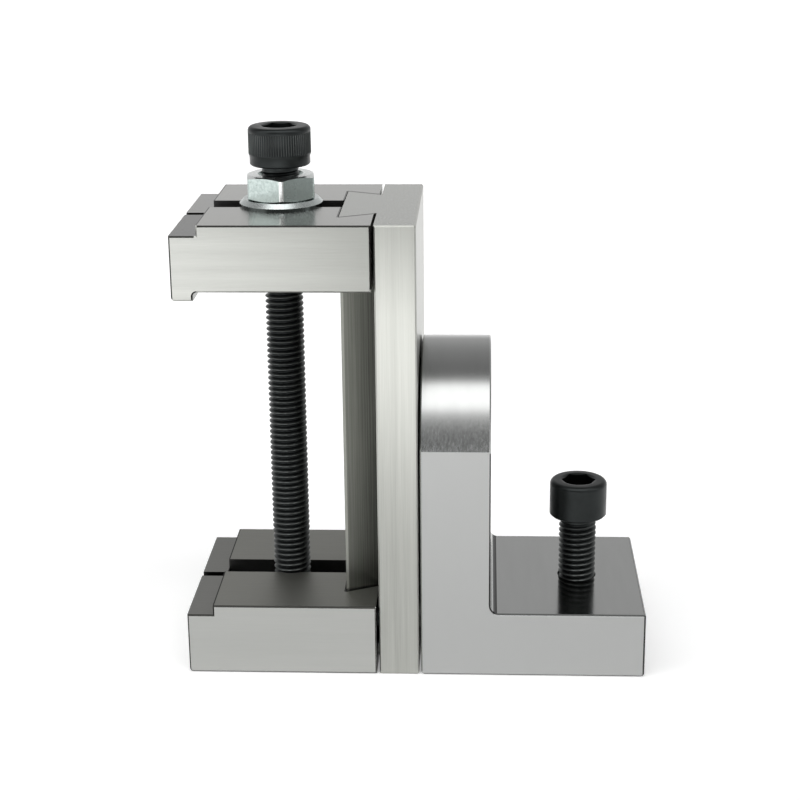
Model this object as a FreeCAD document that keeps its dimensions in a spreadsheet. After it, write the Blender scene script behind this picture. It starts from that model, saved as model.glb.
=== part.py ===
import FreeCAD, Part

import math
import os
import re

import Sketcher

# Wire-cut vise: an upright dovetail rail carries a fixed lower jaw and a sliding upper jaw.
# A long cap screw stands in the lower jaw, and the nut on it presses the upper jaw down.
# The rail swivels on the round head of an L-shaped bracket, whose foot is screwed to a machine table.
#
# Frame in millimetres: the origin is the middle of the rail's lower end, +Z is up along the rail,
# the jaws reach out along -X, the bracket's foot along +X, and every piece is centred on Y = 0.

SIZES = (
    ("body_width", 54.0, "width of the rail, both jaws and the bracket"),
    ("edge_break", 0.4, "chamfer along the ground edges"),
    ("corner_round", 0.9, "rounded lower edges of the jaws' tips and the bracket"),
    ("running_clearance", 0.05, "radial play of a shaft that turns in its hole"),
    ("rail_thickness", 10.4, "plate of the rail"),
    ("rail_height", 120.0, "length of the rail"),
    ("dovetail_depth", 9.2, "how far the dovetail stands out of the rail"),
    ("dovetail_wide", 32.6, "dovetail across its outer face"),
    ("dovetail_neck", 23.6, "dovetail across its root"),
    ("slide_clearance", 0.2, "play between the dovetail and a jaw"),
    ("jaw_gap", 0.7, "space between the rail's face and a jaw"),
    ("jaw_reach", 50.3, "rail's face to the jaws' tips"),
    ("jaw_height", 19.0, "height of either jaw at its tallest"),
    ("ledge_length", 6.8, "step along both jaws' tips"),
    ("ledge_drop", 2.6, "depth of that step"),
    ("lip_length", 5.4, "lip under the moving jaw's tip"),
    ("lip_drop", 2.2, "how far the lip hangs down"),
    ("lip_fillet", 1.0, "inside corner of the lip"),
    ("slot_width", 8.6, "slot in both jaws' tops"),
    ("slot_depth", 10.0, "depth of that slot"),
    ("slit_width", 2.6, "wire slit through the jaws' tips"),
    ("clamp_offset", 25.3, "rail's face to the clamp screw's axis"),
    ("clamp_diameter", 10.0, "clamp screw's thread"),
    ("clamp_head_diameter", 16.0, "clamp screw's head"),
    ("clamp_head_height", 10.0, "height of that head"),
    ("knurl_step", 0.25, "how far that head steps in below its knurled band"),
    ("band_share", 0.25, "height of that step as a share of the head"),
    ("clamp_socket_flats", 8.0, "hexagon key of the clamp screw"),
    ("clamp_hole_clearance", 0.5, "radial play of the clamp screw in the moving jaw and washer"),
    ("clamp_tip_height", 0.3, "clamp screw's tip above the base"),
    ("nut_flats", 17.0, "nut across flats"),
    ("nut_height", 6.2, "height of the nut"),
    ("nut_face_share", 0.95, "round faces of the nut as a share of its flats"),
    ("nut_corner_angle", 20.0, "slope in degrees that takes the nut's corners off"),
    ("nut_corner_round", 0.8, "rounding of its upright edges"),
    ("nut_headroom", 2.3, "nut's top to the clamp screw's head"),
    ("washer_diameter", 21.4, "washer's outside"),
    ("washer_thickness", 1.8, "washer's thickness"),
    ("washer_chamfer", 1.1, "chamfer round its upper rim"),
    ("bracket_gap", 0.5, "height of the round pad that the rail swivels on"),
    ("pad_diameter", 42.0, "diameter of that pad"),
    ("leg_thickness", 18.0, "upright leg of the bracket"),
    ("pivot_height", 56.7, "swivel axis above the base"),
    ("head_crown", 0.5, "round head's radius beyond half the width"),
    ("foot_length", 58.3, "bracket from its leg's rail side to the foot's end"),
    ("foot_thickness", 17.5, "thickness of the foot"),
    ("corner_fillet", 2.3, "inside corner of leg and foot"),
    ("pivot_diameter", 10.0, "pivot screw's thread and shank"),
    ("pivot_head_diameter", 16.0, "pivot screw's head"),
    ("pivot_head_height", 10.0, "height of that head"),
    ("pivot_socket_flats", 8.0, "hexagon key of the pivot screw"),
    ("pivot_engagement", 12.0, "pivot screw's thread inside the rail"),
    ("pivot_thread_spare", 2.5, "tapped hole beyond the pivot screw's tip"),
    ("counterbore_clearance", 0.6, "radial space and depth to spare round a sunk head"),
    ("mount_offset", 23.6, "leg's outer face to the mounting screw's axis"),
    ("mount_diameter", 10.0, "mounting screw's thread"),
    ("mount_head_diameter", 15.2, "mounting screw's head"),
    ("mount_head_height", 10.0, "height of that head"),
    ("mount_socket_flats", 8.0, "hexagon key of the mounting screw"),
    ("mount_length", 35.0, "mounting screw under its head"),
    ("mount_hole_clearance", 0.2, "radial play of the mounting screw in the foot"),
    ("fixing_diameter", 5.0, "screws that hold the fixed jaw"),
    ("fixing_head_diameter", 8.5, "heads of those screws"),
    ("fixing_head_height", 5.0, "height of those heads"),
    ("fixing_socket_flats", 4.0, "hexagon key of those screws"),
    ("fixing_engagement", 10.0, "their thread inside the fixed jaw"),
    ("fixing_height", 13.2, "their axes above the base"),
    ("fixing_edge", 6.5, "axes of those screws and the dowels from the side faces"),
    ("dowel_diameter", 4.0, "dowel pins that locate the fixed jaw"),
    ("dowel_play", 0.02, "radial play of a dowel pin"),
    ("dowel_height", 4.6, "dowel axes above the base"),
    ("dowel_sink", 1.5, "dowel's end below the rail's outer face"),
    ("dowel_engagement", 6.4, "dowel pin inside the fixed jaw"),
    ("blind_spare", 1.5, "blind hole beyond the end of its screw or pin"),
    ("socket_share", 0.55, "depth of a hexagon socket as a share of the head"),
    ("head_round", 1.1, "rounded top edge of a large screw head"),
    ("thread_chamfer", 0.8, "chamfer at a screw's tip"),
)

ALIAS = re.compile(r"\b(" + "|".join(name for name, _, _ in SIZES) + r")\b")
START_RADIUS = 20.0
FULL_TURN = 360.0
TOLERANCE = 1e-4
FRONT_SIDE = "fixing_edge - body_width / 2"
BACK_SIDE = "body_width / 2 - fixing_edge"
SHOULDER = "ledge_length - jaw_reach"
HEAD_OUTWARD = FreeCAD.Rotation(FreeCAD.Vector(0, 1, 0), 90)
CORNER_FORWARD = FreeCAD.Rotation(FreeCAD.Vector(0, 0, 1), 97)


def bound(expression):
    """Write a formula in size names as one that reads the sheet."""
    return ALIAS.sub(r"Sizes.\1", expression)


def make_sheet(doc):
    sheet = doc.addObject("Spreadsheet::Sheet", "Sizes")
    for row, (alias, value, note) in enumerate(SIZES, start=1):
        sheet.set("A%d" % row, alias)
        sheet.set("B%d" % row, str(value))
        sheet.set("C%d" % row, note)
        sheet.setAlias("B%d" % row, alias)
    doc.recompute()
    return sheet


def new_body(doc, label):
    body = doc.addObject("PartDesign::Body", label)
    body.Label = label
    return body


def place(body, x="0", y="0", z="0", rotation=None):
    """Set a body's place in the object's frame from formulas."""
    body.Placement = FreeCAD.Placement(FreeCAD.Vector(), rotation or FreeCAD.Rotation())
    for axis, expression in (("x", x), ("y", y), ("z", z)):
        body.setExpression("Placement.Base.%s" % axis, bound(expression))


def new_sketch(body, name, plane, height="0"):
    """A sketch on one of the body's own origin planes, raised along that plane's normal."""
    sketch = body.newObject("Sketcher::SketchObject", "%s_%s" % (body.Name, name))
    role = "%s_Plane" % plane
    origin_plane = [item for item in body.Origin.OriginFeatures if item.Role == role][0]
    sketch.AttachmentSupport = [(origin_plane, "")]
    sketch.MapMode = "FlatFace"
    sketch.setExpression("AttachmentOffset.Base.z", bound(height))
    return sketch


def pin_point(sketch, geometry, position, x, y):
    """Dimension one point from the sketch's origin."""
    for kind, expression in (("DistanceX", x), ("DistanceY", y)):
        index = sketch.addConstraint(Sketcher.Constraint(kind, -1, 1, geometry, position, 1.0))
        sketch.setExpression("Constraints[%d]" % index, bound(expression))


def draw_polygon(sketch, corners):
    """A closed outline whose corners are pairs of formulas, drawn round a circle and then dimensioned."""
    first = sketch.GeometryCount
    count = len(corners)
    turns = [2 * math.pi * step / count for step in range(count)]
    start = [FreeCAD.Vector(START_RADIUS * math.cos(turn), START_RADIUS * math.sin(turn), 0)
             for turn in turns]
    for step in range(count):
        sketch.addGeometry(Part.LineSegment(start[step], start[(step + 1) % count]), False)
    for step in range(count):
        joined = Sketcher.Constraint("Coincident", first + step, 2, first + (step + 1) % count, 1)
        sketch.addConstraint(joined)
    for step, (x, y) in enumerate(corners):
        pin_point(sketch, first + step, 1, x, y)


def draw_rectangle(sketch, low_x, low_y, high_x, high_y):
    draw_polygon(sketch, ((low_x, low_y), (high_x, low_y), (high_x, high_y), (low_x, high_y)))


def draw_circle(sketch, x, y, radius):
    first = sketch.GeometryCount
    sketch.addGeometry(Part.Circle(FreeCAD.Vector(), FreeCAD.Vector(0, 0, 1), START_RADIUS), False)
    pin_point(sketch, first, 3, x, y)
    index = sketch.addConstraint(Sketcher.Constraint("Radius", first, START_RADIUS))
    sketch.setExpression("Constraints[%d]" % index, bound(radius))


def draw_hexagon(sketch, flats):
    """A hexagon with two corners on the sketch's first axis."""
    corner = "(%s) / sqrt(3)" % flats
    middle = "(%s) / sqrt(12)" % flats
    flat = "(%s) / 2" % flats
    draw_polygon(sketch, (
        (corner, "0"), (middle, flat), ("-" + middle, flat),
        ("-" + corner, "0"), ("-" + middle, "-" + flat), (middle, "-" + flat)))


def pad(body, sketch, length, symmetric=False, toward_back=False):
    feature = body.newObject("PartDesign::Pad", sketch.Name + "_pad")
    feature.Profile = sketch
    feature.setExpression("Length", bound(length))
    feature.SideType = "Symmetric" if symmetric else "One side"
    feature.Reversed = toward_back
    sketch.Document.recompute()
    return feature


def cut(body, sketch, depth=None):
    """A pocket against the sketch's normal, or through everything both ways when no depth is given."""
    before = body.Shape.Volume
    feature = body.newObject("PartDesign::Pocket", sketch.Name + "_pocket")
    feature.Profile = sketch
    if depth is None:
        feature.Type = "ThroughAll"
        feature.SideType = "Symmetric"
    else:
        feature.setExpression("Length", bound(depth))
    sketch.Document.recompute()
    if body.Shape.Volume >= before:
        raise RuntimeError("%s cuts nothing" % feature.Name)
    return feature


def turn(body, sketch, kind="Revolution"):
    """Revolve, or groove, a half section about the sketch's upright axis."""
    before = body.Shape.Volume if body.Tip else 0.0
    feature = body.newObject("PartDesign::" + kind, sketch.Name + "_turned")
    feature.Profile = sketch
    feature.ReferenceAxis = (sketch, ["V_Axis"])
    feature.Angle = FULL_TURN
    sketch.Document.recompute()
    if kind == "Groove" and body.Shape.Volume >= before:
        raise RuntimeError("%s cuts nothing" % feature.Name)
    return feature


def dress(body, kind, size, chosen):
    """Chamfer or fillet the edges of the body that the test picks out."""
    base = body.Tip
    names = ["Edge%d" % number for number, edge in enumerate(base.Shape.Edges, start=1) if chosen(edge)]
    if not names:
        raise RuntimeError("%s has no edge for its %s" % (body.Label, kind.lower()))
    feature = body.newObject("PartDesign::" + kind, "%s_%s" % (body.Name, kind.lower()))
    feature.Base = (base, names)
    feature.setExpression("Size" if kind == "Chamfer" else "Radius", bound(size))
    body.Document.recompute()
    return feature


def near(value, target):
    return abs(value - target) < TOLERANCE


def spans(edge, axis):
    """The edge's two extremes along one axis."""
    box = edge.BoundBox
    return {"x": (box.XMin, box.XMax), "y": (box.YMin, box.YMax), "z": (box.ZMin, box.ZMax)}[axis]


def lies_at(edge, axis, target):
    low, high = spans(edge, axis)
    return near(low, target) and near(high, target)


def on_side_faces(half_width):
    """Test for the edges that bound the two ground side faces."""
    return lambda edge: lies_at(edge, "y", half_width) or lies_at(edge, "y", -half_width)


def build_rail(doc, sheet):
    """The upright rail, one piece with its dovetail, drilled from behind for what it holds."""
    body = new_body(doc, "rail")
    place(body)
    face = "rail_thickness / 2"
    section = new_sketch(body, "section", "XY")
    draw_polygon(section, (
        (face, "-body_width / 2"),
        (face, "body_width / 2"),
        ("-" + face, "body_width / 2"),
        ("-" + face, "dovetail_neck / 2"),
        ("-" + face + " - dovetail_depth", "dovetail_wide / 2"),
        ("-" + face + " - dovetail_depth", "-dovetail_wide / 2"),
        ("-" + face, "-dovetail_neck / 2"),
        ("-" + face, "-body_width / 2")))
    pad(body, section, "rail_height")

    half_width = sheet.body_width / 2
    half_thickness = sheet.rail_thickness / 2
    on_sides = on_side_faces(half_width)
    dress(body, "Chamfer", "edge_break",
          lambda edge: on_sides(edge) or lies_at(edge, "x", half_thickness))

    heads = new_sketch(body, "fixing_heads", "YZ", face)
    clearances = new_sketch(body, "fixing_holes", "YZ", face)
    dowels = new_sketch(body, "dowel_holes", "YZ", face)
    for side in (FRONT_SIDE, BACK_SIDE):
        draw_circle(heads, side, "fixing_height", "fixing_head_diameter / 2 + counterbore_clearance / 2")
        draw_circle(clearances, side, "fixing_height", "fixing_diameter / 2 + counterbore_clearance / 2")
        draw_circle(dowels, side, "dowel_height", "dowel_diameter / 2 + dowel_play")
    cut(body, heads, "fixing_head_height + counterbore_clearance")
    cut(body, clearances)
    cut(body, dowels)

    pivot = new_sketch(body, "pivot_hole", "YZ", face)
    draw_circle(pivot, "0", "pivot_height", "pivot_diameter / 2 + running_clearance")
    cut(body, pivot, "pivot_engagement + pivot_thread_spare")
    return body


def cut_jaw_openings(body, top, hole_radius):
    """What both jaws share: dovetail groove, screw slot, wire slit at the tip and screw hole."""
    groove = new_sketch(body, "groove", "XY")
    neck = "dovetail_neck / 2 + slide_clearance"
    wide = "dovetail_wide / 2 + slide_clearance"
    draw_polygon(groove, (
        ("0", "-(%s)" % neck),
        ("0", neck),
        ("-dovetail_depth - slide_clearance", wide),
        ("-dovetail_depth - slide_clearance", "-(%s)" % wide)))
    cut(body, groove)

    slot = new_sketch(body, "slot", "XY", top)
    draw_rectangle(slot, SHOULDER, "-slot_width / 2", "-dovetail_depth", "slot_width / 2")
    cut(body, slot, "slot_depth")

    slit = new_sketch(body, "slit", "XY")
    draw_rectangle(slit, "-jaw_reach", "-slit_width / 2", SHOULDER, "slit_width / 2")
    cut(body, slit)

    hole = new_sketch(body, "screw_hole", "XY")
    draw_circle(hole, "-clamp_offset", "0", hole_radius)
    cut(body, hole)


def build_fixed_jaw(doc, sheet):
    """The lower jaw: a stepped block, tapped for the clamp screw and screwed to the rail."""
    body = new_body(doc, "fixed_jaw")
    place(body, x="-rail_thickness / 2")
    outline = new_sketch(body, "outline", "XZ")
    draw_polygon(outline, (
        ("-jaw_gap", "0"),
        ("-jaw_gap", "jaw_height"),
        (SHOULDER, "jaw_height"),
        (SHOULDER, "jaw_height - ledge_drop"),
        ("-jaw_reach", "jaw_height - ledge_drop"),
        ("-jaw_reach", "0")))
    pad(body, outline, "body_width", symmetric=True)

    tip = -sheet.jaw_reach
    dress(body, "Fillet", "corner_round", lambda edge: lies_at(edge, "x", tip) and lies_at(edge, "z", 0.0))
    dress(body, "Chamfer", "edge_break", on_side_faces(sheet.body_width / 2))

    cut_jaw_openings(body, "jaw_height", "clamp_diameter / 2 + running_clearance")

    screws = new_sketch(body, "fixing_holes", "YZ", "-jaw_gap")
    dowels = new_sketch(body, "dowel_holes", "YZ", "-jaw_gap")
    for side in (FRONT_SIDE, BACK_SIDE):
        draw_circle(screws, side, "fixing_height", "fixing_diameter / 2 + running_clearance")
        draw_circle(dowels, side, "dowel_height", "dowel_diameter / 2 + dowel_play")
    cut(body, screws, "fixing_engagement + blind_spare")
    cut(body, dowels, "dowel_engagement + blind_spare")
    return body


def build_moving_jaw(doc, sheet):
    """The upper jaw: the same step on its top, and a lip under its tip that drops into the lower step."""
    body = new_body(doc, "moving_jaw")
    place(body, x="-rail_thickness / 2", z="rail_height - jaw_height + lip_drop")
    outline = new_sketch(body, "outline", "XZ")
    top = "jaw_height - lip_drop"
    draw_polygon(outline, (
        ("-jaw_gap", "0"),
        ("-jaw_gap", top),
        (SHOULDER, top),
        (SHOULDER, top + " - ledge_drop"),
        ("-jaw_reach", top + " - ledge_drop"),
        ("-jaw_reach", "-lip_drop"),
        ("lip_length - jaw_reach", "-lip_drop"),
        ("lip_length - jaw_reach", "0")))
    pad(body, outline, "body_width", symmetric=True)

    lip_root = sheet.lip_length - sheet.jaw_reach
    tip = -sheet.jaw_reach
    lowest = -sheet.lip_drop
    dress(body, "Fillet", "lip_fillet", lambda edge: lies_at(edge, "x", lip_root) and lies_at(edge, "z", 0.0))
    dress(body, "Fillet", "corner_round", lambda edge: lies_at(edge, "x", tip) and lies_at(edge, "z", lowest))
    dress(body, "Chamfer", "edge_break", on_side_faces(sheet.body_width / 2))

    cut_jaw_openings(body, top, "clamp_diameter / 2 + clamp_hole_clearance")
    return body


def draw_leg_outline(sketch, sheet):
    """The leg seen along the swivel axis: straight sides and a round head just wider than they are."""
    half = sheet.body_width / 2
    radius = half + sheet.head_crown
    shoulder = sheet.pivot_height + math.sqrt(radius ** 2 - half ** 2)
    start = math.atan2(shoulder - sheet.pivot_height, half)
    centre = FreeCAD.Vector(0, sheet.pivot_height, 0)
    circle = Part.Circle(centre, FreeCAD.Vector(0, 0, 1), radius)
    sketch.addGeometry(Part.LineSegment(FreeCAD.Vector(-half, 0, 0), FreeCAD.Vector(half, 0, 0)), False)
    sketch.addGeometry(Part.LineSegment(FreeCAD.Vector(half, 0, 0), FreeCAD.Vector(half, shoulder, 0)), False)
    sketch.addGeometry(Part.ArcOfCircle(circle, start, math.pi - start), False)
    left_side = Part.LineSegment(FreeCAD.Vector(-half, shoulder, 0), FreeCAD.Vector(-half, 0, 0))
    sketch.addGeometry(left_side, False)
    for first, end, second, begin in ((0, 2, 1, 1), (1, 2, 2, 1), (2, 2, 3, 1), (3, 2, 0, 1)):
        sketch.addConstraint(Sketcher.Constraint("Coincident", first, end, second, begin))
    sketch.addConstraint(Sketcher.Constraint("Vertical", 1))
    sketch.addConstraint(Sketcher.Constraint("Vertical", 3))
    pin_point(sketch, 0, 1, "-body_width / 2", "0")
    pin_point(sketch, 0, 2, "body_width / 2", "0")
    pin_point(sketch, 2, 3, "0", "pivot_height")
    index = sketch.addConstraint(Sketcher.Constraint("Radius", 2, radius))
    sketch.setExpression("Constraints[%d]" % index, bound("body_width / 2 + head_crown"))


def build_bracket(doc, sheet):
    """The L-shaped bracket: a leg with a round head, a foot, and a low round pad that faces the rail."""
    body = new_body(doc, "bracket")
    place(body, x="rail_thickness / 2 + bracket_gap")
    leg = new_sketch(body, "leg", "YZ")
    draw_leg_outline(leg, sheet)
    pad(body, leg, "leg_thickness")
    foot = new_sketch(body, "foot", "XZ")
    draw_rectangle(foot, "0", "0", "foot_length", "foot_thickness")
    pad(body, foot, "body_width", symmetric=True)

    leg_face = sheet.leg_thickness
    foot_top = sheet.foot_thickness
    foot_end = sheet.foot_length
    dress(body, "Fillet", "corner_fillet",
          lambda edge: lies_at(edge, "x", leg_face) and lies_at(edge, "z", foot_top))
    dress(body, "Fillet", "corner_round",
          lambda edge: lies_at(edge, "z", 0.0) and (lies_at(edge, "x", 0.0) or lies_at(edge, "x", foot_end)))

    on_sides = on_side_faces(sheet.body_width / 2)
    head_top = sheet.pivot_height + sheet.body_width / 2 + sheet.head_crown
    dress(body, "Chamfer", "edge_break",
          lambda edge: (on_sides(edge) and spans(edge, "z")[0] < sheet.pivot_height)
          or near(spans(edge, "z")[1], head_top)
          or (lies_at(edge, "x", foot_end) and lies_at(edge, "z", foot_top)))

    pad_face = new_sketch(body, "swivel_pad", "YZ")
    draw_circle(pad_face, "0", "pivot_height", "pad_diameter / 2")
    pad(body, pad_face, "bracket_gap", toward_back=True)

    sunk_head = new_sketch(body, "pivot_head", "YZ", "leg_thickness")
    draw_circle(sunk_head, "0", "pivot_height", "pivot_head_diameter / 2 + counterbore_clearance")
    cut(body, sunk_head, "pivot_head_height + counterbore_clearance")
    pivot = new_sketch(body, "pivot_hole", "YZ")
    draw_circle(pivot, "0", "pivot_height", "pivot_diameter / 2 + running_clearance")
    cut(body, pivot)

    mount = new_sketch(body, "mount_hole", "XY")
    draw_circle(mount, "leg_thickness + mount_offset", "0", "mount_diameter / 2 + mount_hole_clearance")
    cut(body, mount)
    return body


def build_cap_screw(doc, sheet, label, kind, length, slimmer="0"):
    """A socket head cap screw with its head's underside at the local origin and its shank along -Z.

    The kind picks the screw's sizes. Slimmer is how far the head steps in below its gripping band.
    """
    body = new_body(doc, label)
    radius = kind + "_diameter / 2"
    head = kind + "_head_diameter / 2"
    height = kind + "_head_height"
    socket_radius = kind + "_socket_flats / sqrt(3)"
    scale = " * %s_diameter / clamp_diameter" % kind
    chamfer = "thread_chamfer" + scale
    profile = new_sketch(body, "profile", "XZ")
    draw_polygon(profile, (
        ("0", "-(%s)" % length),
        ("%s - %s" % (radius, chamfer), "-(%s)" % length),
        (radius, "%s - (%s)" % (chamfer, length)),
        (radius, "0"),
        ("%s - %s - %s / 2" % (head, slimmer, chamfer), "0"),
        ("%s - %s" % (head, slimmer), chamfer + " / 2"),
        ("%s - %s" % (head, slimmer), height + " * band_share"),
        (head, "%s * band_share + %s / 2" % (height, chamfer)),
        (head, height),
        ("0", height)))
    turn(body, profile)

    top = float(sheet.get(height))
    outer = float(sheet.get(kind + "_head_diameter")) / 2
    dress(body, "Fillet", "head_round" + scale,
          lambda edge: lies_at(edge, "z", top) and near(spans(edge, "x")[1], outer))

    socket = new_sketch(body, "socket", "XY", height)
    draw_hexagon(socket, kind + "_socket_flats")
    cut(body, socket, height + " * socket_share")
    mouth = new_sketch(body, "socket_mouth", "XZ")
    draw_polygon(mouth, (
        ("0", height),
        (socket_radius, height),
        ("0", "%s - %s / 2" % (height, socket_radius))))
    turn(body, mouth, "Groove")
    return body


def build_clamp_screw(doc, sheet):
    """The long screw that stands in the fixed jaw and guides the nut."""
    stack = "rail_height + washer_thickness + nut_height + nut_headroom"
    body = build_cap_screw(doc, sheet, "clamp_screw", "clamp", stack + " - clamp_tip_height", "knurl_step")
    place(body, x="-rail_thickness / 2 - clamp_offset", z=stack)
    return body


def build_mounting_screw(doc, sheet):
    """The screw in the foot, standing on its tip in a plain hole."""
    body = build_cap_screw(doc, sheet, "mounting_screw", "mount", "mount_length")
    place(body, x="rail_thickness / 2 + bracket_gap + leg_thickness + mount_offset", z="mount_length")
    return body


def build_pivot_screw(doc, sheet):
    """The swivel's screw, sunk in the bracket and screwed into the rail."""
    floor = "leg_thickness - pivot_head_height - counterbore_clearance + bracket_gap"
    body = build_cap_screw(doc, sheet, "pivot_screw", "pivot", floor + " + pivot_engagement")
    place(body, x="rail_thickness / 2 + " + floor, z="pivot_height", rotation=HEAD_OUTWARD)
    return body


def build_fixing_screw(doc, sheet, label, side):
    """One of the screws that hold the fixed jaw, sunk in the rail's outer face."""
    floor = "rail_thickness - fixing_head_height - counterbore_clearance"
    length = floor + " + jaw_gap + fixing_engagement"
    body = build_cap_screw(doc, sheet, label, "fixing", length)
    place(body, x="%s - rail_thickness / 2" % floor, y=side, z="fixing_height", rotation=HEAD_OUTWARD)
    return body


def build_dowel(doc, sheet, label, side):
    """One of the pins that locate the fixed jaw on the rail, both ends chamfered."""
    body = new_body(doc, label)
    length = "(rail_thickness - dowel_sink + jaw_gap + dowel_engagement)"
    chamfer = "thread_chamfer / 2"
    profile = new_sketch(body, "profile", "XZ")
    draw_polygon(profile, (
        ("0", "-" + length),
        ("dowel_diameter / 2 - " + chamfer, "-" + length),
        ("dowel_diameter / 2", chamfer + " - " + length),
        ("dowel_diameter / 2", "-" + chamfer),
        ("dowel_diameter / 2 - " + chamfer, "0"),
        ("0", "0")))
    turn(body, profile)
    place(body, x="rail_thickness / 2 - dowel_sink", y=side, z="dowel_height", rotation=HEAD_OUTWARD)
    return body


def build_clamp_nut(doc, sheet):
    """A thin hexagon nut with a corner nearly toward the front, both faces chamfered."""
    body = new_body(doc, "clamp_nut")
    blank = new_sketch(body, "blank", "XY")
    draw_hexagon(blank, "nut_flats")
    pad(body, blank, "nut_height")
    dress(body, "Fillet", "nut_corner_round", lambda edge: near(edge.BoundBox.ZLength, sheet.nut_height))

    # A flat cone takes the corners off both faces, from just inside the flats to past the corners.
    rim = "nut_flats * nut_face_share / 2"
    outside = "(nut_flats / sqrt(3) + edge_break)"
    fall = "(%s - %s) * tan(nut_corner_angle)" % (outside, rim)
    for name, face, direction in (("upper_corners", "nut_height", " - "), ("lower_corners", "0", " + ")):
        corners = new_sketch(body, name, "XZ")
        draw_polygon(corners, ((rim, face), (outside, face), (outside, face + direction + fall)))
        turn(body, corners, "Groove")

    hole = new_sketch(body, "hole", "XY")
    draw_circle(hole, "0", "0", "clamp_diameter / 2 + running_clearance")
    cut(body, hole)
    bore = sheet.clamp_diameter / 2 + sheet.running_clearance
    dress(body, "Chamfer", "thread_chamfer", lambda edge: near(spans(edge, "x")[1], bore)
          and near(spans(edge, "y")[1], bore) and near(edge.BoundBox.ZLength, 0.0))
    place(body, x="-rail_thickness / 2 - clamp_offset", z="rail_height + washer_thickness",
          rotation=CORNER_FORWARD)
    return body


def build_clamp_washer(doc, sheet):
    """The plain washer between nut and moving jaw, its upper rim chamfered."""
    body = new_body(doc, "clamp_washer")
    ring = new_sketch(body, "ring", "XY")
    draw_circle(ring, "0", "0", "washer_diameter / 2")
    draw_circle(ring, "0", "0", "clamp_diameter / 2 + clamp_hole_clearance")
    pad(body, ring, "washer_thickness")
    outer = sheet.washer_diameter / 2
    top = sheet.washer_thickness
    dress(body, "Chamfer", "washer_chamfer",
          lambda edge: lies_at(edge, "z", top) and near(spans(edge, "x")[1], outer))
    place(body, x="-rail_thickness / 2 - clamp_offset", z="rail_height")
    return body


document = FreeCAD.newDocument("wire_cut_vise")
sizes = make_sheet(document)
pieces = [
    build_rail(document, sizes),
    build_fixed_jaw(document, sizes),
    build_moving_jaw(document, sizes),
    build_bracket(document, sizes),
    build_clamp_screw(document, sizes),
    build_clamp_nut(document, sizes),
    build_clamp_washer(document, sizes),
    build_mounting_screw(document, sizes),
    build_pivot_screw(document, sizes),
    build_fixing_screw(document, sizes, "fixing_screw_front", FRONT_SIDE),
    build_fixing_screw(document, sizes, "fixing_screw_back", BACK_SIDE),
    build_dowel(document, sizes, "jaw_dowel_front", FRONT_SIDE),
    build_dowel(document, sizes, "jaw_dowel_back", BACK_SIDE),
]
document.recompute()

for item in document.Objects:
    if "Invalid" in item.State or "Error" in item.State:
        raise RuntimeError("%s did not compute: %s" % (item.Name, item.State))

os.makedirs("parts", exist_ok=True)
for piece in pieces:
    shape = piece.Shape
    if shape.isNull() or not shape.isValid() or not shape.Solids:
        raise RuntimeError("%s has no valid solid" % piece.Label)
    shape.exportStep("parts/%s.step" % piece.Label)
    box = shape.BoundBox
    print("%-20s %d solid, %.0f mm3, X %.2f..%.2f Y %.2f..%.2f Z %.2f..%.2f" % (
        piece.Label, len(shape.Solids), shape.Volume,
        box.XMin, box.XMax, box.YMin, box.YMax, box.ZMin, box.ZMax))
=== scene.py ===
import math

import bpy
import numpy as np
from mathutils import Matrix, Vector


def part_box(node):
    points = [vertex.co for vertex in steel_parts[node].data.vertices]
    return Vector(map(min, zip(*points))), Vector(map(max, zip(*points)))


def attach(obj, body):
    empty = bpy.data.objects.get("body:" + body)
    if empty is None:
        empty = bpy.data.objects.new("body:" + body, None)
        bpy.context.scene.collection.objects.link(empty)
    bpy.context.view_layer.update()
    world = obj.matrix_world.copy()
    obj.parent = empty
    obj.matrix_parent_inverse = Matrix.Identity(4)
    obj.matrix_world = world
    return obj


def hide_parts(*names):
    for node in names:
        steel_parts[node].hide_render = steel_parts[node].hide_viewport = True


# Wire-cut vise: an upright dovetail rail with a fixed and a sliding jaw, a long cap screw with a nut that
# presses the upper jaw down, and an L-shaped bracket on whose round head the rail swivels.
# Metres; +Z is up along the rail, the jaws reach out along -X and the bracket's foot along +X.

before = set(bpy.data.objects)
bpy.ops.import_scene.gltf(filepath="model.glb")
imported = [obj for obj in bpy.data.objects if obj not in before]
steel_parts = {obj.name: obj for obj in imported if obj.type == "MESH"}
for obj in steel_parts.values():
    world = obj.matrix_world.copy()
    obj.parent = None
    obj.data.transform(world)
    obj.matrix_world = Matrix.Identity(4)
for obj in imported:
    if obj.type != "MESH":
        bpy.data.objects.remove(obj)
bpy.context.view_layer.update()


# The rail: one piece of stainless tool steel with its dovetail, surface ground along its length, so that
# fine scratches run up and down. The fixed jaw is screwed and pinned to it from behind.

def linear(hex_colour):
    """An sRGB hex colour as linear red, green, blue and alpha."""
    shares = [int(hex_colour[at:at + 2], 16) / 255 for at in (1, 3, 5)]
    curved = [s / 12.92 if s <= 0.04045 else ((s + 0.055) / 1.055) ** 2.4 for s in shares]
    return (*curved, 1.0)


def add_node(tree, kind, inputs=None, **settings):
    """Add a shader node with its settings. An input is linked if its value is a socket, and set if not."""
    node = tree.nodes.new("ShaderNode" + kind)
    for name, value in settings.items():
        setattr(node, name, value)
    for name, value in (inputs or {}).items():
        if isinstance(value, bpy.types.NodeSocket):
            tree.links.new(value, node.inputs[name])
        else:
            node.inputs[name].default_value = value
    return node


def new_material(name):
    """An empty material with a Principled shader on its output."""
    material = bpy.data.materials.new(name)
    material.use_nodes = True
    tree = material.node_tree
    tree.nodes.clear()
    shader = add_node(tree, "BsdfPrincipled")
    add_node(tree, "OutputMaterial", {"Surface": shader.outputs["BSDF"]})
    return material, tree, shader


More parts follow.
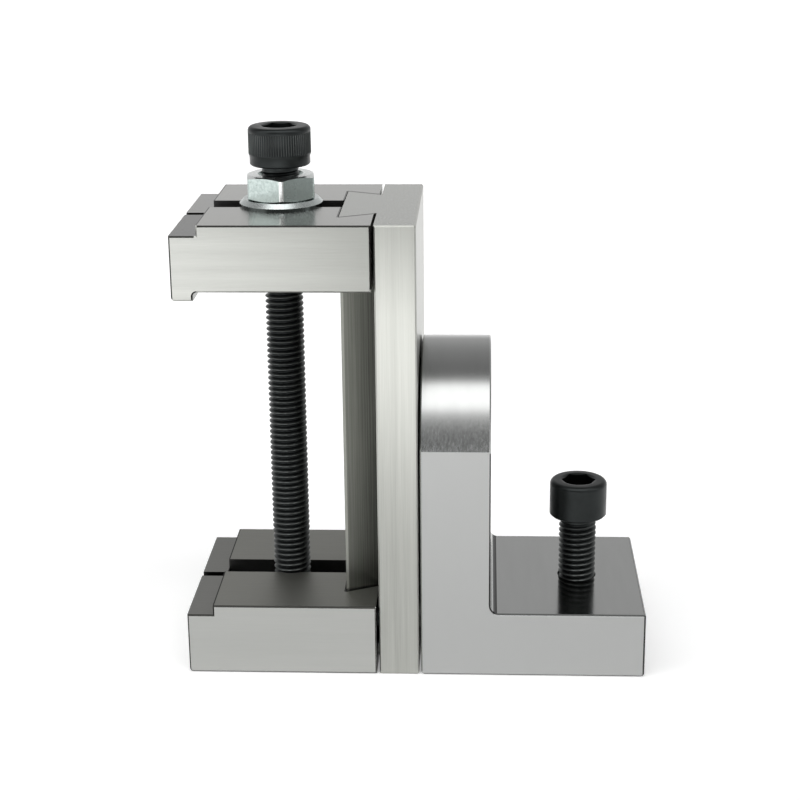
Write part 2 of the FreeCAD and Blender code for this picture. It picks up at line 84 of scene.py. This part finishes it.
def ground_steel(name, colour, dark, grain_mm, side_gloss, top_gloss, scratch):
    """Surface-ground stainless: streaks grain_mm long, wide and high lie over broader bands.

    Faces that look up or down are finished by lapping: they have their own roughness and hardly any
    scratches.
    """
    material, tree, shader = new_material(name)
    place = add_node(tree, "TexCoord")
    streaks = add_node(tree, "Mapping", {
        "Vector": place.outputs["Object"], "Scale": [1000 / size for size in grain_mm]})
    fine = add_node(tree, "TexNoise", {"Vector": streaks.outputs["Vector"], "Scale": 1.0, "Detail": 3.0,
                                       "Roughness": 0.65})
    bands = add_node(tree, "Mapping", {"Vector": streaks.outputs["Vector"], "Scale": (0.16, 0.018, 0.16)})
    broad = add_node(tree, "TexNoise", {"Vector": bands.outputs["Vector"], "Scale": 1.0, "Detail": 2.0,
                                        "Roughness": 0.5})
    both = add_node(tree, "Math", {0: fine.outputs["Fac"], 1: broad.outputs["Fac"]}, operation="ADD")
    share = add_node(tree, "MapRange", {"Value": both.outputs["Value"], "From Min": 0.7, "From Max": 1.3})
    body = add_node(tree, "Mix", {0: share.outputs["Result"], 6: linear(dark), 7: linear(colour)},
                    data_type="RGBA")
    tree.links.new(body.outputs[2], shader.inputs["Base Color"])

    facing = add_node(tree, "SeparateXYZ", {"Vector": place.outputs["Normal"]})
    upright = add_node(tree, "Math", {0: facing.outputs["Z"]}, operation="ABSOLUTE")
    level_face = add_node(tree, "MapRange", {"Value": upright.outputs["Value"], "From Min": 0.8,
                                         "From Max": 0.95})
    gloss = add_node(tree, "MapRange", {"Value": level_face.outputs["Result"], "To Min": side_gloss,
                                        "To Max": top_gloss})
    wobble = add_node(tree, "MapRange", {"Value": fine.outputs["Fac"], "From Min": 0.3, "From Max": 0.7,
                                         "To Min": 0.92, "To Max": 1.08})
    rough = add_node(tree, "Math", {0: gloss.outputs["Result"], 1: wobble.outputs["Result"]},
                     operation="MULTIPLY")
    tree.links.new(rough.outputs["Value"], shader.inputs["Roughness"])

    depth = add_node(tree, "MapRange", {"Value": level_face.outputs["Result"], "To Min": scratch,
                                        "To Max": 0.1 * scratch})
    relief = add_node(tree, "Bump", {"Height": fine.outputs["Fac"], "Strength": depth.outputs["Result"],
                                     "Distance": 1e-5})
    tree.links.new(relief.outputs["Normal"], shader.inputs["Normal"])
    shader.inputs["Metallic"].default_value = 1.0
    return material


# Most places that tint gives another colour are painted shade or painted highlights; the comment at each
# call says which.
def tint(material, colour, facing=None, second=None, marks_mm=(0.3, 50.0), contrast=1.1, fades=None,
         rough=None, **ranges):
    """Give one place on a material another colour: where each named measure is in its range, in mm.

    x, y and z are distances from the frame's planes, either way; front and left run only towards there;
    flank is the distance beyond the flank of the jaws' dovetail groove, across the jaw; rim is the
    distance from the swivel's axis. facing "up" keeps to level faces and "side" to the others.
    second names a colour in upright marks, as wide and long as marks_mm says; over an x range it takes
    over slowly. fades names the measure over whose range, from its first end to its other, the tint is
    lost. rough is the place's own roughness.
    """
    groove_start, groove_depth, half_neck, half_floor = 5.2, 9.2, 11.8, 16.3
    swivel_height = 0.0567
    nearly_level = 0.8
    tree = material.node_tree
    shader = [node for node in tree.nodes if node.type == "BSDF_PRINCIPLED"][0]
    base = shader.inputs["Base Color"].links[0].from_socket
    place = add_node(tree, "TexCoord")
    parts = add_node(tree, "SeparateXYZ", {"Vector": place.outputs["Object"]})
    aside = [add_node(tree, "Math", {0: parts.outputs[axis]}, operation="ABSOLUTE").outputs["Value"]
             for axis in "XYZ"]
    measures = dict(zip("xyz", aside))
    for name, axis in (("left", "X"), ("front", "Y")):
        turned = add_node(tree, "Math", {0: parts.outputs[axis], 1: -1.0}, operation="MULTIPLY")
        measures[name] = turned.outputs["Value"]
    slope = (half_floor - half_neck) / groove_depth
    beyond = add_node(tree, "Math", {0: aside[0], 1: -slope, 2: aside[1]}, operation="MULTIPLY_ADD")
    on_flank = (half_neck - slope * groove_start) / 1000
    from_flank = add_node(tree, "Math", {0: beyond.outputs["Value"], 1: on_flank}, operation="SUBTRACT")
    measures["flank"] = from_flank.outputs["Value"]
    spoke = add_node(tree, "Mapping", {"Vector": place.outputs["Object"],
                                       "Location": (0.0, 0.0, -swivel_height), "Scale": (0.0, 1.0, 1.0)})
    from_axis = add_node(tree, "VectorMath", {0: spoke.outputs["Vector"]}, operation="LENGTH")
    measures["rim"] = from_axis.outputs["Value"]
    masks = []
    for name, (low, high) in ranges.items():
        middle, half = (low + high) / 2000, abs(high - low) / 2000
        masks.append(add_node(tree, "Math", {0: measures[name], 1: middle, 2: half}, operation="COMPARE"))
    if facing:
        normal = add_node(tree, "SeparateXYZ", {"Vector": place.outputs["Normal"]})
        level = add_node(tree, "Math", {0: normal.outputs["Z"]}, operation="ABSOLUTE")
        masks.append(add_node(tree, "Math", {0: level.outputs["Value"], 1: nearly_level},
                              operation="GREATER_THAN" if facing == "up" else "LESS_THAN"))
    if fades:
        low, high = ranges[fades]
        masks.append(add_node(tree, "Math", {
            0: measures[fades], 1: -1000 / (high - low), 2: high / (high - low)},
            operation="MULTIPLY_ADD", use_clamp=True))
    mask = masks[0].outputs["Value"]
    for other in masks[1:]:
        both = add_node(tree, "Math", {0: mask, 1: other.outputs["Value"]}, operation="MULTIPLY")
        mask = both.outputs["Value"]
    painted = add_node(tree, "Mix", {0: mask, 6: base, 7: linear(colour)}, data_type="RGBA")
    if second:
        wide, long = marks_mm
        drawn = add_node(tree, "Mapping", {"Vector": place.outputs["Object"],
                                           "Scale": (1000 / wide, 1000 / wide, 1000 / long)})
        marks = add_node(tree, "TexNoise", {"Vector": drawn.outputs["Vector"], "Scale": 1.0, "Detail": 4.0,
                                            "Roughness": 0.7})
        low, high = ranges.get("x", (0.0, 1.0))
        first, last = (0.05, 0.95) if "x" in ranges else (0.3, 0.3)
        along = add_node(tree, "MapRange", {
            "Value": measures["x"], "From Min": low / 1000, "From Max": high / 1000,
            "To Min": first - contrast / 2, "To Max": last - contrast / 2})
        share = add_node(tree, "Math", {0: marks.outputs["Fac"], 1: contrast, 2: along.outputs["Result"]},
                         operation="MULTIPLY_ADD", use_clamp=True)
        marked = add_node(tree, "Mix", {0: share.outputs["Value"], 6: linear(colour), 7: linear(second)},
                          data_type="RGBA")
        tree.links.new(marked.outputs[2], painted.inputs[7])
    tree.links.new(painted.outputs[2], shader.inputs["Base Color"])
    if rough:
        gloss = shader.inputs["Roughness"].links[0].from_socket
        dulled = add_node(tree, "Mix", {0: mask, 2: gloss, 3: rough})
        tree.links.new(dulled.outputs[0], shader.inputs["Roughness"])


# The rail's steel has streaks 0.35 mm wide and 25 mm long, up and down. Its tints, in their order: the
# dovetail's flanks, streaked, with painted shade that grows lighter towards their outer edge; more painted
# shade on them towards the base; a painted highlight on the land at the dovetail's front corner; the top;
# painted shade on the front and the back towards the top; and painted shade on the face in the gap behind
# the fixed jaw.
rail_finish = ground_steel("rail_ground_stainless_steel", "#b1b2ad", "#a0a19c", (0.35, 0.35, 25.0),
                           0.30, 0.26, 0.5)
tint(rail_finish, "#4c4d4a", facing="side", second="#a0a19c", x=(5.3, 14.2), y=(11.0, 16.4))
tint(rail_finish, "#101010", facing="side", fades="z", x=(5.3, 14.2), y=(11.0, 16.4), z=(-60.0, 60.0))
tint(rail_finish, "#c4c5c0", facing="side", left=(13.7, 14.3), front=(15.2, 16.4))
tint(rail_finish, "#babbb7", facing="up", z=(119.0, 121.0))
tint(rail_finish, "#8a8b87", facing="side", fades="z", y=(26.9, 27.1), z=(135.0, 97.0))
tint(rail_finish, "#1c1c1c", left=(5.1, 5.3), z=(0.4, 18.6))
steel_parts["rail"].material_slots[0].material = rail_finish


# The jaws: two blocks of hardened stainless steel, sides ground along their length and clamping faces
# lapped. The lower one is fixed to the rail, and the upper one slides on the dovetail.

# Each jaw has painted light and shade on its level faces, and painted shade on its step, in the line at
# the step's foot, in the slit, on the slot's walls and in the lines along the dovetail groove's flanks and
# floor.
# Then come painted shade on the fixed jaw's edges and on its face at the rail, and on the moving jaw
# painted shade that grows slowly along its sides towards the rail, painted shade on its edges and on the
# step's front half.
jaw_grain = (9.0, 0.35, 0.35)
lower_finish = ground_steel("fixed_jaw_ground_stainless_steel", "#b0b1ae", "#acadaa", jaw_grain,
                            0.32, 0.50, 0.12)
upper_finish = ground_steel("moving_jaw_ground_stainless_steel", "#b0b1ad", "#a3a4a0", jaw_grain,
                            0.32, 0.24, 0.4)
for finish, level_face, step, level in ((lower_finish, "#92928d", "#8c8c89", 16.4),
                                    (upper_finish, "#b4b4b1", "#9f9f9d", 117.4)):
    # The level faces' colour is painted shade on the fixed jaw, which lies under the moving jaw, and a
    # little painted light on the moving jaw.
    tint(finish, level_face, facing="up", z=(16.0, 121.0))
    tint(finish, step, facing="up", x=(48.7, 56.0), z=(level - 0.5, level + 0.5))
    tint(finish, "#30302e", facing="up", x=(48.4, 48.75), z=(16.0, 121.0))
    tint(finish, "#282827", x=(48.7, 56.0), y=(0.0, 1.35))
    tint(finish, "#6c6c6b", facing="side", x=(14.5, 48.9), y=(4.0, 4.5))
    tint(finish, "#30302e", facing="up", x=(6.0, 14.6), z=(16.0, 121.0), flank=(0.1, 0.9))
    tint(finish, "#30302e", facing="up", x=(14.5, 14.95), y=(0.0, 16.9), z=(16.0, 121.0))
tint(lower_finish, "#30302e", x=(6.1, 56.0), y=(26.5, 26.99))
tint(lower_finish, "#1c1c1c", x=(5.8, 6.0))
tint(upper_finish, "#7c7d79", facing="side", fades="x", x=(-20.0, 56.0), y=(26.99, 27.1))
tint(upper_finish, "#30302e", x=(0.0, 48.3), y=(26.5, 26.99), z=(104.0, 121.0))
tint(upper_finish, "#30302e", x=(49.1, 56.0), y=(26.5, 26.99), z=(101.6, 121.0))
tint(upper_finish, "#30302e", x=(49.2, 50.6), y=(26.5, 26.99), z=(101.3, 103.1))
tint(upper_finish, "#767675", facing="up", x=(48.8, 56.0), front=(1.4, 26.5), z=(117.0, 118.0))
steel_parts["fixed_jaw"].material_slots[0].material = lower_finish
steel_parts["moving_jaw"].material_slots[0].material = upper_finish


# The bracket: an L of the same steel, fine ground all over. Its foot's top is lapped nearly mirror bright,
# and its round head is belt ground.

# Its tints, in order: the dull flat sides; painted shade on their edges, the foot end's edges, the corner
# between leg and foot and the face behind the rail; and the belt's marks on the head, lost towards its
# top.
bracket_finish = ground_steel("bracket_fine_ground_stainless_steel", "#afb0af", "#abacab",
                              (0.35, 0.35, 1.6), 0.24, 0.13, 0.12)
tint(bracket_finish, "#b4b5b4", facing="side", y=(26.95, 27.05), z=(0.0, 61.9), rough=0.5)
tint(bracket_finish, "#3c3d3c", x=(6.3, 64.0), y=(26.55, 26.94), z=(0.0, 61.5))
tint(bracket_finish, "#3c3d3c", x=(63.5, 63.99))
tint(bracket_finish, "#2c2d2c", x=(24.5, 25.5), z=(17.49, 20.0))
tint(bracket_finish, "#4a4b4a", x=(5.1, 5.75), rough=0.9)
tint(bracket_finish, "#8c8e8d", facing="side", second="#eef0ef", marks_mm=(0.55, 2.5), contrast=1.8,
     fades="z", rim=(27.35, 27.6), z=(61.92, 70.5))
steel_parts["bracket"].material_slots[0].material = bracket_finish


# The clamp screw: a long M10 cap screw of blackened alloy steel, its thread rolled and its head knurled.
# It is screwed into the lower jaw and passes through the upper one, the washer and the nut.

def shell(name, parts, material, body, node):
    """A mesh of closed shells, each a grid of rows by columns by 3 whose first and last rows are poles.

    A second grid, rows by columns, says how much painted highlight each place gets.
    """
    places, faces, painted_highlight, count = [], [], [], 0
    for grid, highlight_share in parts:
        rows, columns = grid.shape[0] - 2, grid.shape[1]
        ring = np.arange(rows * columns).reshape(rows, columns) + count
        after = np.roll(ring, -1, axis=1)
        bottom, top = count + rows * columns, count + rows * columns + 1
        quads = np.stack([ring[:-1], after[:-1], after[1:], ring[1:]], axis=-1).reshape(-1, 4)
        low = np.stack([np.full(columns, bottom), after[0], ring[0]], axis=-1)
        high = np.stack([np.full(columns, top), ring[-1], after[-1]], axis=-1)
        faces += quads.tolist() + low.tolist() + high.tolist()
        places += [grid[1:-1].reshape(-1, 3), grid[0, :1], grid[-1, :1]]
        painted_highlight += [highlight_share[1:-1].ravel(), highlight_share[0, :1], highlight_share[-1, :1]]
        count += rows * columns + 2
    mesh = bpy.data.meshes.new(name)
    mesh.from_pydata(np.concatenate(places).tolist(), [], faces)
    mesh.attributes.new("painted_highlight", "FLOAT", "POINT").data.foreach_set("value", np.concatenate(painted_highlight))
    mesh.shade_smooth()
    mesh.set_sharp_from_angle(angle=math.radians(35))
    mesh.materials.append(material)
    piece = bpy.data.objects.new(name, mesh)
    bpy.context.scene.collection.objects.link(piece)
    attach(piece, body)
    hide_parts(node)


def around(radius, height, columns):
    """Turn radii and heights, one row each and either one value or one per column, about the Z axis."""
    turn = np.linspace(0, 2 * np.pi, columns, endpoint=False)
    rows = max(np.shape(radius)[0], np.shape(height)[0])
    radius = np.broadcast_to(np.reshape(radius, (len(radius), -1)), (rows, columns))
    height = np.broadcast_to(np.reshape(height, (len(height), -1)), (rows, columns))
    return np.stack([radius * np.cos(turn), radius * np.sin(turn), height], axis=-1)


def threaded_shank(radius, pitch, length, columns=48, per_pitch=14):
    """A right-hand metric thread from z = -length to just above 0, as a height field on a cylinder.

    On the flat crest the distance from its middle, along the axis, is less than a sixteenth of the pitch.
    Beyond it the flank drops by the rest of that distance over tan 30, down to the root. The crest's edges
    are rounded by taking the mean with a cosine of the same depth. The thread fades out under the head,
    where the shank is slimmer, the tip is chamfered, and the crests get a painted highlight. under_head
    and tip are shares of the radius.
    """
    depth = 0.613 * pitch
    under_head, tip = 0.06, 0.84
    turn = np.linspace(0, 2 * np.pi, columns, endpoint=False)
    height = np.arange(-length, -0.4 * pitch, pitch / per_pitch)[:, None]
    phase = (height / pitch - turn / (2 * np.pi)) % 1.0
    aside = np.abs(phase - 0.5) * pitch
    sharp = np.clip((aside - pitch / 16) / math.tan(math.radians(30)), 0, depth)
    soft = depth * (0.5 - 0.5 * np.cos(2 * np.pi * aside / pitch))
    drop = 0.5 * sharp + 0.5 * soft
    fade = np.clip((-height - 0.6 * pitch) / (1.5 * pitch), 0, 1)
    field = np.minimum(radius - drop * fade - (1 - fade) * under_head * radius,
                       radius * tip + (height + length))
    pole = np.zeros((1, columns))
    radii = np.concatenate([pole, field, field[-1:], pole])
    levels = np.concatenate([[[-length]], height, [[0.3 * pitch]], [[0.3 * pitch]]])
    highlight_share = np.concatenate([pole, np.clip(1 - drop / (0.5 * pitch), 0, 1) * fade, pole, pole])
    return around(radii, levels, columns), highlight_share


def cap_head(radius, height, flats, slimmer, rounding, knurls, columns):
    """A socket head over z = 0: profile rows up its side and over its top, then down the hexagon socket.

    A hexagon's radius at an angle is half its flats over the cosine of the angle to the nearest flat's
    middle. Knurls are shallow grooves between narrow ridges, one to each share of a turn, and the ridges
    get a painted highlight. The underside is drawn a little clear of the seat: the two don't share a
    plane.
    """
    clear, run_out, drill_point = 0.00003, 0.0003, 0.001
    half_ridge = 0.2
    turn = np.linspace(0, 2 * np.pi, columns, endpoint=False)
    corner = flats / math.sqrt(3)
    hexagon = flats / 2 / np.cos((turn % (np.pi / 3)) - np.pi / 6)
    bevel = rounding * 0.36
    arc = np.linspace(0, np.pi / 2, 9)
    foot, step = radius - slimmer, 0.25 * height
    band_foot, band_top = step + 2.2 * slimmer, 0.85 * height
    groove = 0.02 * radius if knurls else 0.0
    side = [(0, clear), (0.55 * radius, clear), (foot - bevel, clear), (foot, bevel),
            (foot, step - slimmer / 2), (radius - slimmer * 0.2, step + slimmer),
            (radius, step + 2 * slimmer)]
    ridge = np.zeros(columns)
    if knurls:
        share = (turn * knurls / (2 * np.pi)) % 1.0
        ridge = np.clip(1 - np.minimum(share, 1 - share) / half_ridge, 0, 1)
    band = np.array([band_foot, band_foot + run_out, band_top - run_out, band_top])
    deep = np.array([0.0, 1.0, 1.0, 0.0])
    rounded = [(radius - rounding + rounding * math.cos(a), height - rounding + rounding * math.sin(a))
               for a in arc]
    lip = [(corner + 0.3 * (radius - rounding - corner), height), (corner, height)]
    radii = [np.full(columns, r) for r, _ in side]
    radii += [radius - groove * share_deep * (1 - ridge) for share_deep in deep]
    radii += [np.full(columns, r) for r, _ in rounded + lip] + [hexagon, hexagon, hexagon * 0.2,
                                                               np.zeros(columns)]
    floor = height * 0.45
    levels = [np.full(columns, z) for _, z in side] + [np.full(columns, z) for z in band]
    levels += [np.full(columns, z) for _, z in rounded + lip]
    levels += [height - (corner - hexagon) / 2, np.full(columns, floor),
               np.full(columns, floor - 0.8 * drill_point), np.full(columns, floor - drill_point)]
    highlight_share = np.zeros((len(radii), columns))
    highlight_share[len(side):len(side) + len(band)] = deep[:, None] * ridge
    return around(np.array(radii), np.array(levels), columns), highlight_share


# Black oxide on alloy steel, lightly oiled: nearly black with a cold grey sheen and a fine even tooth.
black_oxide, tree, shader = new_material("oiled_black_oxide_alloy_steel")
place = add_node(tree, "TexCoord")
tooth = add_node(tree, "TexNoise", {"Vector": place.outputs["Object"], "Scale": 2500.0, "Detail": 2.0})
cloud = add_node(tree, "TexNoise", {"Vector": place.outputs["Object"], "Scale": 220.0, "Detail": 2.0})
shade = add_node(tree, "Mix", {0: cloud.outputs["Fac"], 6: linear("#282a2a"), 7: linear("#383b3b")},
                 data_type="RGBA")
# The thread's crests and the knurls' ridges are painted a lighter grey: a painted highlight.
painted_highlight = add_node(tree, "Attribute", attribute_name="painted_highlight")
highlighted = add_node(tree, "Mix", {0: painted_highlight.outputs["Fac"], 6: shade.outputs[2], 7: linear("#585b5a")},
                data_type="RGBA")
tree.links.new(highlighted.outputs[2], shader.inputs["Base Color"])
sheen = add_node(tree, "MapRange", {"Value": cloud.outputs["Fac"], "From Min": 0.3, "From Max": 0.7,
                                    "To Min": 0.32, "To Max": 0.42})
tree.links.new(sheen.outputs["Result"], shader.inputs["Roughness"])
relief = add_node(tree, "Bump", {"Height": tooth.outputs["Fac"], "Strength": 0.3, "Distance": 1e-5})
tree.links.new(relief.outputs["Normal"], shader.inputs["Normal"])
shader.inputs["Metallic"].default_value = 1.0

M10_RADIUS, M10_PITCH, HEAD, KEY = 0.005, 0.0015, 0.010, 0.008
clamp_low, clamp_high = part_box("clamp_screw")
clamp_seat = np.array([(clamp_low[0] + clamp_high[0]) / 2, 0.0, clamp_high[2] - HEAD])
clamp_parts = [threaded_shank(M10_RADIUS, M10_PITCH, clamp_seat[2] - clamp_low[2]),
               cap_head(0.008, HEAD, KEY, slimmer=0.00025, rounding=0.0011, knurls=76, columns=760)]
shell("clamp_screw_threaded", [(part + clamp_seat, highlight_share) for part, highlight_share in clamp_parts], black_oxide,
      "clamp_screw", "clamp_screw")


# The nut and washer: pressed steel with bright zinc plating that is passivated blue. The thin nut presses
# the washer and the upper jaw down.

def zinc(name, colour, dark, gloss):
    """Blue-passivated zinc plate: soft blotches under a millimetre wide, and a slightly wavy surface."""
    material, tree, shader = new_material(name)
    place = add_node(tree, "TexCoord")
    blotch = add_node(tree, "TexNoise", {"Vector": place.outputs["Object"], "Scale": 1400.0, "Detail": 3.0,
                                         "Roughness": 0.7})
    wave = add_node(tree, "TexNoise", {"Vector": place.outputs["Object"], "Scale": 260.0, "Detail": 1.0})
    share = add_node(tree, "MapRange", {"Value": blotch.outputs["Fac"], "From Min": 0.35, "From Max": 0.6})
    plate = add_node(tree, "Mix", {0: share.outputs["Result"], 6: linear(dark), 7: linear(colour)},
                     data_type="RGBA")
    tree.links.new(plate.outputs[2], shader.inputs["Base Color"])
    rough = add_node(tree, "MapRange", {"Value": blotch.outputs["Fac"], "From Min": 0.3, "From Max": 0.7,
                                        "To Min": gloss * 1.3, "To Max": gloss * 0.8})
    tree.links.new(rough.outputs["Result"], shader.inputs["Roughness"])
    relief = add_node(tree, "Bump", {"Height": wave.outputs["Fac"], "Strength": 0.4, "Distance": 5e-5})
    tree.links.new(relief.outputs["Normal"], shader.inputs["Normal"])
    shader.inputs["Metallic"].default_value = 1.0
    return material


# Painted highlights on the nut's top and its front upper corner; painted shade on the lower part of the
# washer's rim, where it sits on the jaw.
nut_finish = zinc("nut_blue_zinc_plate", "#b4bfbc", "#a3aeab", 0.22)
tint(nut_finish, "#f0f3f2", facing="up", z=(127.0, 128.1))
tint(nut_finish, "#f4f6f5", x=(28.7, 29.9), front=(9.35, 9.8))
steel_parts["clamp_nut"].material_slots[0].material = nut_finish
washer_finish = zinc("washer_blue_zinc_plate", "#d3d9d8", "#c6cccb", 0.24)
tint(washer_finish, "#4e5352", facing="side", z=(119.9, 120.68))
steel_parts["clamp_washer"].material_slots[0].material = washer_finish


# The mounting screw: a shorter M10 cap screw with a plain head. It stands on its tip in the foot's
# clearance hole, not yet screwed down.

mount_low, mount_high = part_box("mounting_screw")
mount_seat = np.array([(mount_low[0] + mount_high[0]) / 2, 0.0, mount_high[2] - HEAD])
mount_parts = [threaded_shank(M10_RADIUS, M10_PITCH, mount_seat[2] - mount_low[2]),
               cap_head(0.0076, HEAD, KEY, slimmer=0.0, rounding=0.0013, knurls=0, columns=120)]
shell("mounting_screw_threaded", [(part + mount_seat, highlight_share) for part, highlight_share in mount_parts], black_oxide,
      "mounting_screw", "mounting_screw")


# The sunk screws: the swivel's screw in the bracket's head and two small ones behind the fixed jaw, all
# blackened. Two ground dowel pins stand beside the small screws.

for name in ("pivot_screw", "fixing_screw_front", "fixing_screw_back"):
    steel_parts[name].material_slots[0].material = black_oxide
pin_finish = ground_steel("dowel_ground_bearing_steel", "#6f706e", "#646563", (0.3, 4.0, 4.0),
                          0.3, 0.3, 0.3)
for name in ("jaw_dowel_front", "jaw_dowel_back"):
    steel_parts[name].material_slots[0].material = pin_finish


# The studio: a white table without an end, a sky that is one wide soft light over the front, and the
# camera where the photograph was taken.

table = bpy.data.meshes.new("studio_table")
reach, level = 6.0, -0.00005
table.from_pydata([(-reach, -reach, level), (reach, -reach, level), (reach, reach, level),
                   (-reach, reach, level)], [], [(0, 1, 2, 3)])
paper, tree, shader = new_material("studio_white_paper")
shader.inputs["Base Color"].default_value = (0.86, 0.86, 0.86, 1.0)
shader.inputs["Roughness"].default_value = 1.0
shader.inputs["Specular IOR Level"].default_value = 0.0
shader.inputs["Emission Color"].default_value = (1.0, 1.0, 1.0, 1.0)
place = add_node(tree, "TexCoord")

# The table glows in a painted pool of light, slanted in front of the vise, cut out under the bracket's
# foot as a painted shadow.
pool_middle, pool_halves, pool_slant = (-0.09, -0.40, 0.0), (0.33, 0.17, 1.0), math.radians(45.0)
foot_middle, foot_half_length, foot_half_width = 0.0349, 0.0285, 0.0262
from_spot = add_node(tree, "Mapping", {
    "Vector": place.outputs["Object"], "Location": pool_middle, "Rotation": (0.0, 0.0, pool_slant),
    "Scale": pool_halves}, vector_type="TEXTURE")
pool = add_node(tree, "TexGradient", {"Vector": from_spot.outputs["Vector"]}, gradient_type="SPHERICAL")
painted_light_pool = add_node(tree, "MapRange", {"Value": pool.outputs["Fac"], "To Min": 0.3, "To Max": 3.0},
                interpolation_type="SMOOTHSTEP")
parts = add_node(tree, "SeparateXYZ", {"Vector": place.outputs["Object"]})
in_length = add_node(tree, "Math", {0: parts.outputs["X"], 1: foot_middle, 2: foot_half_length},
                     operation="COMPARE")
in_width = add_node(tree, "Math", {0: parts.outputs["Y"], 1: 0.0, 2: foot_half_width}, operation="COMPARE")
under = add_node(tree, "Math", {0: in_length.outputs["Value"], 1: in_width.outputs["Value"]},
                 operation="MULTIPLY")
open_table = add_node(tree, "Math", {0: 1.0, 1: under.outputs["Value"]}, operation="SUBTRACT")
glow = add_node(tree, "Math", {0: painted_light_pool.outputs["Result"], 1: open_table.outputs["Value"]},
                operation="MULTIPLY")
tree.links.new(glow.outputs["Value"], shader.inputs["Emission Strength"])
table.materials.append(paper)
floor = bpy.data.objects.new("studio_table", table)
bpy.context.scene.collection.objects.link(floor)

# Two cards stand beside the vise and show only in what it mirrors: a bright one on the left and a black
# one on the right, which draws the dark side of the screws and of the nut.
near, far, tall = -0.36, -0.08, 0.30
for name, across, light in (("studio_white_card", -0.30, 1.6), ("studio_black_card", 0.26, 0.38)):
    card = bpy.data.meshes.new(name)
    card.from_pydata([(across, near, 0.0), (across, far, 0.0), (across, far, tall), (across, near, tall)],
                     [], [(0, 1, 2, 3)])
    board, tree, shader = new_material(name + "_board")
    shader.inputs["Base Color"].default_value = (0.02, 0.02, 0.02, 1.0)
    shader.inputs["Roughness"].default_value = 1.0
    shader.inputs["Emission Color"].default_value = (1.0, 1.0, 1.0, 1.0)
    shader.inputs["Emission Strength"].default_value = light
    card.materials.append(board)
    upright = bpy.data.objects.new(name, card)
    upright.visible_camera = False
    bpy.context.scene.collection.objects.link(upright)

# Light from the sky by its angle over the front horizon, in degrees: a dim front, a soft box from 52 to
# 77, a dark ceiling and a back wall that grows lighter down to the table.
BRIGHTEST = 2.6
sky = ((0, 0.25), (14, 0.28), (25, 0.38), (35, 0.6), (44, 1.0), (52, BRIGHTEST), (77, BRIGHTEST),
       (85, 0.25), (102, 0.3), (128, 0.42), (150, 0.56), (161, 0.58), (169, 0.72), (175, 0.9), (180, 1.0))
world = bpy.data.worlds.new("studio_sky")
bpy.context.scene.world = world
world.use_nodes = True
tree = world.node_tree
tree.nodes.clear()
place = add_node(tree, "TexCoord")
heading = add_node(tree, "SeparateXYZ", {"Vector": place.outputs["Generated"]})
front = add_node(tree, "Math", {0: heading.outputs["Y"], 1: -1.0}, operation="MULTIPLY")
angle = add_node(tree, "Math", {0: heading.outputs["Z"], 1: front.outputs["Value"]}, operation="ARCTAN2")
turned = add_node(tree, "Math", {0: angle.outputs["Value"], 1: math.pi}, operation="DIVIDE")
ramp = add_node(tree, "ValToRGB", {"Fac": turned.outputs["Value"]})
stops = ramp.color_ramp.elements
for number, (degrees, light) in enumerate(sky):
    stop = stops[number] if number < 2 else stops.new(degrees / 180)
    stop.position = degrees / 180
    stop.color = (light / BRIGHTEST, light / BRIGHTEST, light / BRIGHTEST, 1.0)
air = add_node(tree, "Background", {"Color": ramp.outputs["Color"], "Strength": BRIGHTEST})
add_node(tree, "OutputWorld", {"Surface": air.outputs["Background"]})

# The camera: its place and its dip, turn and tilt were fitted to the photograph's corners.
camera = bpy.data.cameras.new("studio_camera")
camera.lens = 79.23
camera.sensor_width = 36.0
camera.clip_start = 0.01
camera.clip_end = 50.0
viewer = bpy.data.objects.new("studio_camera", camera)
bpy.context.scene.collection.objects.link(viewer)
eye = (0.02183, -0.44549, 0.20996)
dip, yaw, roll = math.radians(17.766), math.radians(-2.863), math.radians(-0.62)
ahead = np.array([math.sin(yaw) * math.cos(dip), math.cos(yaw) * math.cos(dip), -math.sin(dip)])
right = np.array([math.cos(yaw), -math.sin(yaw), 0.0])
above = np.cross(right, ahead)
rolled_right = math.cos(roll) * right + math.sin(roll) * above
rolled_above = -math.sin(roll) * right + math.cos(roll) * above
matrix = np.eye(4)
matrix[:3, 0], matrix[:3, 1], matrix[:3, 2] = rolled_right, rolled_above, -ahead
matrix[:3, 3] = eye
viewer.matrix_world = matrix.T.tolist()
bpy.context.scene.camera = viewer
bpy.context.scene.view_settings.view_transform = "Standard"
